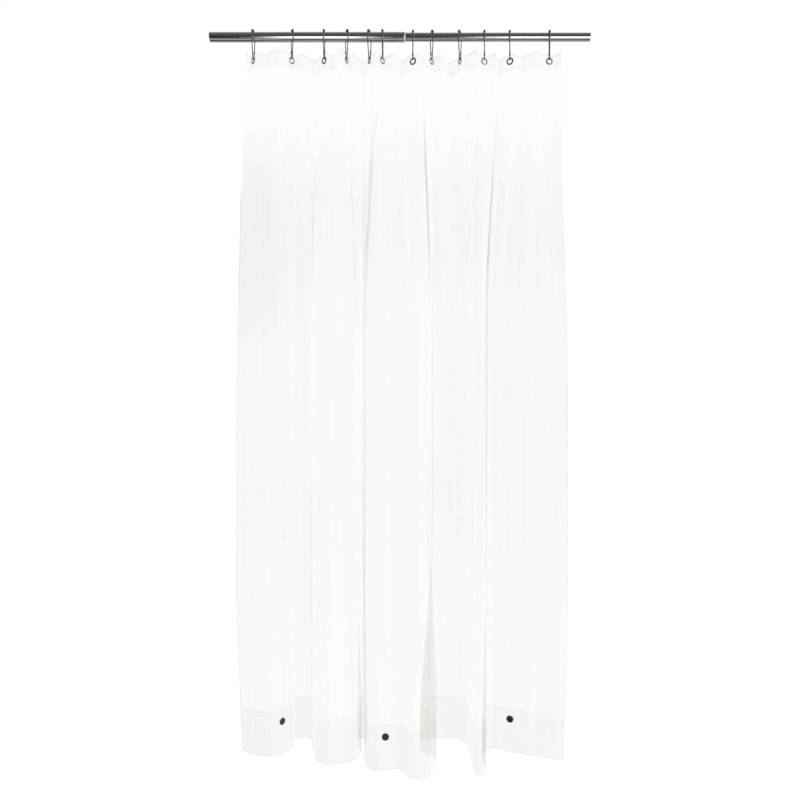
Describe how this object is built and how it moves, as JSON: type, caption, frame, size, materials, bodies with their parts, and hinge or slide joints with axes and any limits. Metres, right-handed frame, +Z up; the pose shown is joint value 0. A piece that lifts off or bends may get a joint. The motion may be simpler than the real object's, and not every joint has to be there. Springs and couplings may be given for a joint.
{
  "type": "shower curtain",
  "caption": "Frosted clear liner hanging in deep folds from pear-shaped roller rings on a chrome telescopic rod, with round hem magnets.",
  "frame": {"origin": "centre of the rod's left end face", "axes": "+X along the rod to the right, +Z up, the curtain's front faces -Y"},
  "size_m": [0.987, 0.2024, 1.8921],
  "materials": {
    "rod_chrome": "polished",
    "ring_chrome": "polished",
    "roller_chrome": "polished",
    "eyelet_steel": "bright nickel",
    "plug_plastic": "moulded",
    "frosted_sheet": "frosted film",
    "magnet_black": "satin"
  },
  "bodies": {
    "rod_outer": {"outer_tube": "rod_chrome", "end_plug_left": "plug_plastic", "mouth_bushing": "plug_plastic"},
    "rod_inner": {"inner_tube": "rod_chrome", "end_plug_right": "plug_plastic", "lock_expander": "plug_plastic"},
    "ring_12": {"ring_wire_12": "ring_chrome", "ring_rollers_12": "roller_chrome", "eyelet_12": "eyelet_steel", "curtain_sheet": "frosted_sheet"},
    "ring_01": {"ring_wire_01": "ring_chrome", "ring_rollers_01": "roller_chrome", "eyelet_01": "eyelet_steel"},
    "ring_02": {"ring_wire_02": "ring_chrome", "ring_rollers_02": "roller_chrome", "eyelet_02": "eyelet_steel"},
    "ring_03": {"ring_wire_03": "ring_chrome", "ring_rollers_03": "roller_chrome", "eyelet_03": "eyelet_steel"},
    "ring_04": {"ring_wire_04": "ring_chrome", "ring_rollers_04": "roller_chrome", "eyelet_04": "eyelet_steel"},
    "ring_05": {"ring_wire_05": "ring_chrome", "ring_rollers_05": "roller_chrome", "eyelet_05": "eyelet_steel"},
    "ring_06": {"ring_wire_06": "ring_chrome", "ring_rollers_06": "roller_chrome", "eyelet_06": "eyelet_steel"},
    "ring_07": {"ring_wire_07": "ring_chrome", "ring_rollers_07": "roller_chrome", "eyelet_07": "eyelet_steel"},
    "ring_08": {"ring_wire_08": "ring_chrome", "ring_rollers_08": "roller_chrome", "eyelet_08": "eyelet_steel"},
    "ring_09": {"ring_wire_09": "ring_chrome", "ring_rollers_09": "roller_chrome", "eyelet_09": "eyelet_steel"},
    "ring_10": {"ring_wire_10": "ring_chrome", "ring_rollers_10": "roller_chrome", "eyelet_10": "eyelet_steel"},
    "ring_11": {"ring_wire_11": "ring_chrome", "ring_rollers_11": "roller_chrome", "eyelet_11": "eyelet_steel"},
    "magnet_01": {"hem_magnet_01": "magnet_black"},
    "magnet_02": {"hem_magnet_02": "magnet_black"},
    "magnet_03": {"hem_magnet_03": "magnet_black"}
  },
  "joints": [
    {"name": "telescope", "type": "slide", "parent": "rod_outer", "child": "rod_inner", "axis": [1, 0, 0], "range_m": [-0.08, 0.15]},
    {"name": "swing", "type": "hinge", "parent": "rod_outer", "child": "ring_12", "pos_m": [0.882, 0, 0], "axis": [1, 0, 0], "range_deg": [-30, 30]},
    {"name": "draw", "type": "slide", "parent": "ring_12", "child": "ring_01", "axis": [1, 0, 0], "range_m": [0, 0.5], "deforming": ["curtain_sheet"]},
    {"name": "glide_02", "type": "slide", "parent": "ring_12", "child": "ring_02", "axis": [1, 0, 0], "range_m": [0, 0.435]},
    {"name": "glide_03", "type": "slide", "parent": "ring_12", "child": "ring_03", "axis": [1, 0, 0], "range_m": [0, 0.3811]},
    {"name": "glide_04", "type": "slide", "parent": "ring_12", "child": "ring_04", "axis": [1, 0, 0], "range_m": [0, 0.3428]},
    {"name": "glide_05", "type": "slide", "parent": "ring_12", "child": "ring_05", "axis": [1, 0, 0], "range_m": [0, 0.3045]},
    {"name": "glide_06", "type": "slide", "parent": "ring_12", "child": "ring_06", "axis": [1, 0, 0], "range_m": [0, 0.2824]},
    {"name": "glide_07", "type": "slide", "parent": "ring_12", "child": "ring_07", "axis": [1, 0, 0], "range_m": [0, 0.2311]},
    {"name": "glide_08", "type": "slide", "parent": "ring_12", "child": "ring_08", "axis": [1, 0, 0], "range_m": [0, 0.1993]},
    {"name": "glide_09", "type": "slide", "parent": "ring_12", "child": "ring_09", "axis": [1, 0, 0], "range_m": [0, 0.1519]},
    {"name": "glide_10", "type": "slide", "parent": "ring_12", "child": "ring_10", "axis": [1, 0, 0], "range_m": [0, 0.1103]},
    {"name": "glide_11", "type": "slide", "parent": "ring_12", "child": "ring_11", "axis": [1, 0, 0], "range_m": [0, 0.0675]},
    {"name": "magnet_glide_01", "type": "slide", "parent": "ring_12", "child": "magnet_01", "axis": [1, 0, 0], "range_m": [0, 0.4538]},
    {"name": "magnet_glide_02", "type": "slide", "parent": "ring_12", "child": "magnet_02", "axis": [1, 0, 0], "range_m": [0, 0.2766]},
    {"name": "magnet_glide_03", "type": "slide", "parent": "ring_12", "child": "magnet_03", "axis": [1, 0, 0], "range_m": [0, 0.0642]}
  ],
  "couplings": [
    {"joint": "glide_02", "follows": "draw", "ratio": 0.86883},
    {"joint": "glide_03", "follows": "draw", "ratio": 0.76104},
    {"joint": "glide_04", "follows": "draw", "ratio": 0.68442},
    {"joint": "glide_05", "follows": "draw", "ratio": 0.60779},
    {"joint": "glide_06", "follows": "draw", "ratio": 0.56364},
    {"joint": "glide_07", "follows": "draw", "ratio": 0.46104},
    {"joint": "glide_08", "follows": "draw", "ratio": 0.3974},
    {"joint": "glide_09", "follows": "draw", "ratio": 0.3026},
    {"joint": "glide_10", "follows": "draw", "ratio": 0.21948},
    {"joint": "glide_11", "follows": "draw", "ratio": 0.13377},
    {"joint": "magnet_glide_01", "follows": "draw", "ratio": 0.90649},
    {"joint": "magnet_glide_02", "follows": "draw", "ratio": 0.55195},
    {"joint": "magnet_glide_03", "follows": "draw", "ratio": 0.12727}
  ]
}
